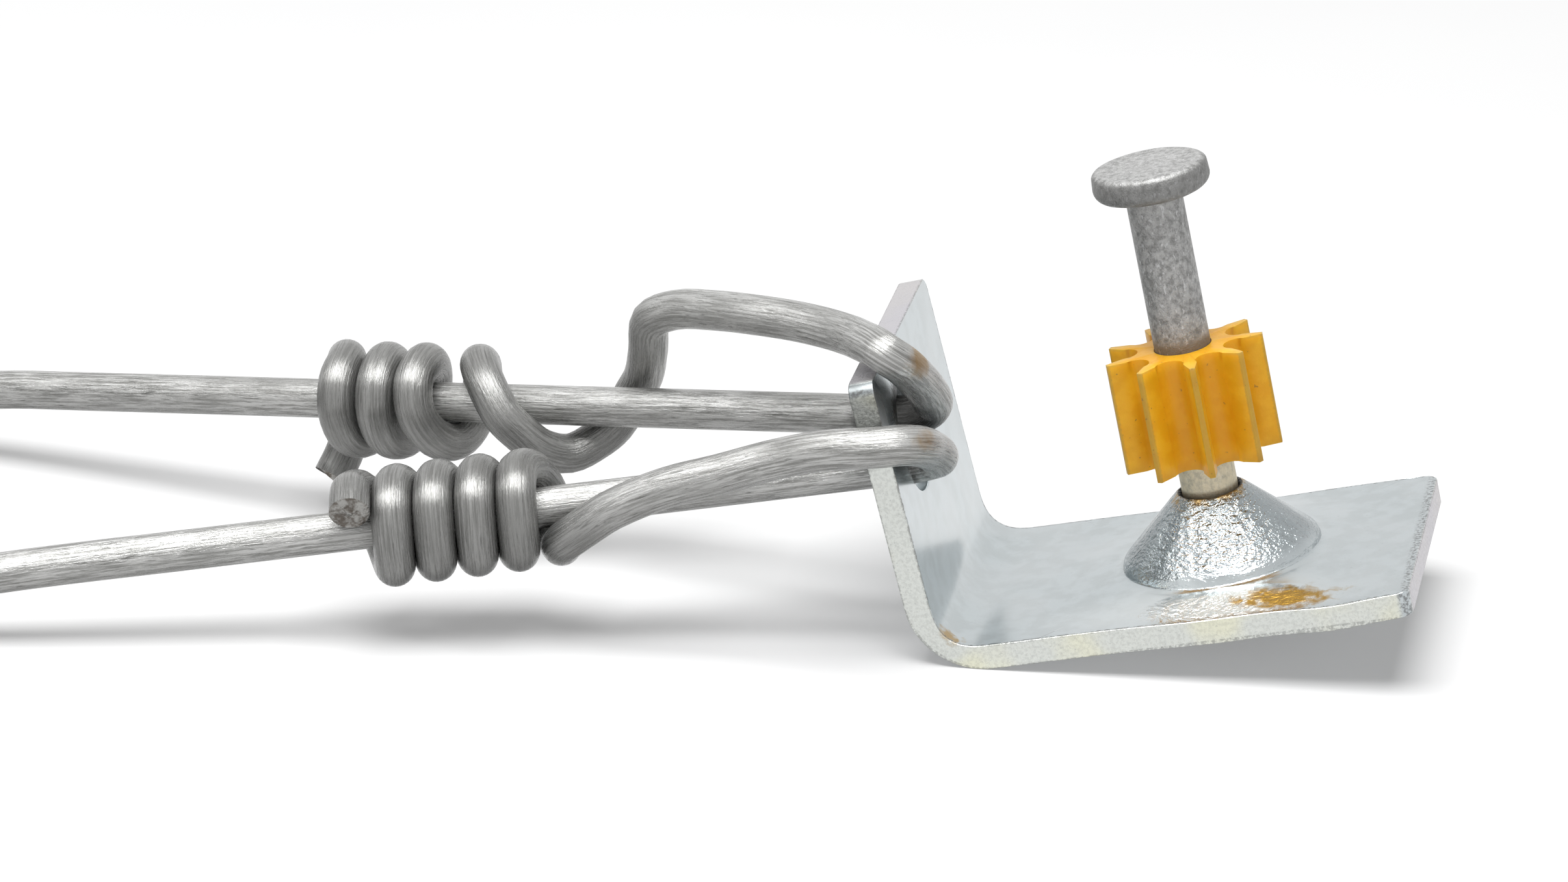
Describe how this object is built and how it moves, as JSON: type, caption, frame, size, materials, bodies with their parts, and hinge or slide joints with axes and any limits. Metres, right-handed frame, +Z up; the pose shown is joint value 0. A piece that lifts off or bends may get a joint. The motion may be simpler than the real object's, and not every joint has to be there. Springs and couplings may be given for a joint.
{
  "type": "ceiling wire angle clip",
  "caption": "Bent steel angle clip with a drive pin held in a stamped cone by a finned plastic flute, and hanger wires looped through its leg and wound on themselves.",
  "frame": {"origin": "centre of the base of the box round the clip, the pin, its flute and the wires' ties, on the surface that the part lies on", "axes": "+Z up, +X from the wires' knots to the clip's free end, +Y to the far side"},
  "size_m": [0.1557, 0.0432, 0.0318],
  "materials": {
    "clip_zinc": "bright zinc plate with faint yellow tints on its cut edges",
    "pin_steel": "matt mottled grey zinc",
    "flute_plastic": "slightly translucent amber yellow",
    "wire_steel": "dull galvanised, streaked along the wire"
  },
  "bodies": {
    "clip": {"angle_clip": "clip_zinc"},
    "pin": {"drive_pin": "pin_steel"},
    "flute": {"pin_flute": "flute_plastic"},
    "rear_wire": {"rear_wire_tie": "wire_steel", "rear_wire_lead": "wire_steel", "rear_wire_coil": "wire_steel"},
    "front_wire": {"front_wire_tie": "wire_steel", "front_wire_lead": "wire_steel", "front_wire_coil": "wire_steel"}
  },
  "joints": [
    {"name": "pin_drive", "type": "slide", "parent": "clip", "child": "pin", "axis": [0.2011, 0, -0.9796], "range_m": [0, 0.012]},
    {"name": "flute_slide", "type": "slide", "parent": "pin", "child": "flute", "axis": [-0.2011, 0, 0.9796], "range_m": [0, 0.0101]},
    {"name": "rear_wire_swing", "type": "hinge", "parent": "clip", "child": "rear_wire", "pos_m": [0.00592, -0.00164, 0.01601], "axis": [0, 1, 0], "range_deg": [0, 20]},
    {"name": "front_wire_swing", "type": "hinge", "parent": "clip", "child": "front_wire", "pos_m": [0.00667, -0.00644, 0.0131], "axis": [0, 0, 1], "range_deg": [0, 24]}
  ],
  "couplings": [
    {"joint": "flute_slide", "follows": "pin_drive", "ratio": 0.8333}
  ]
}
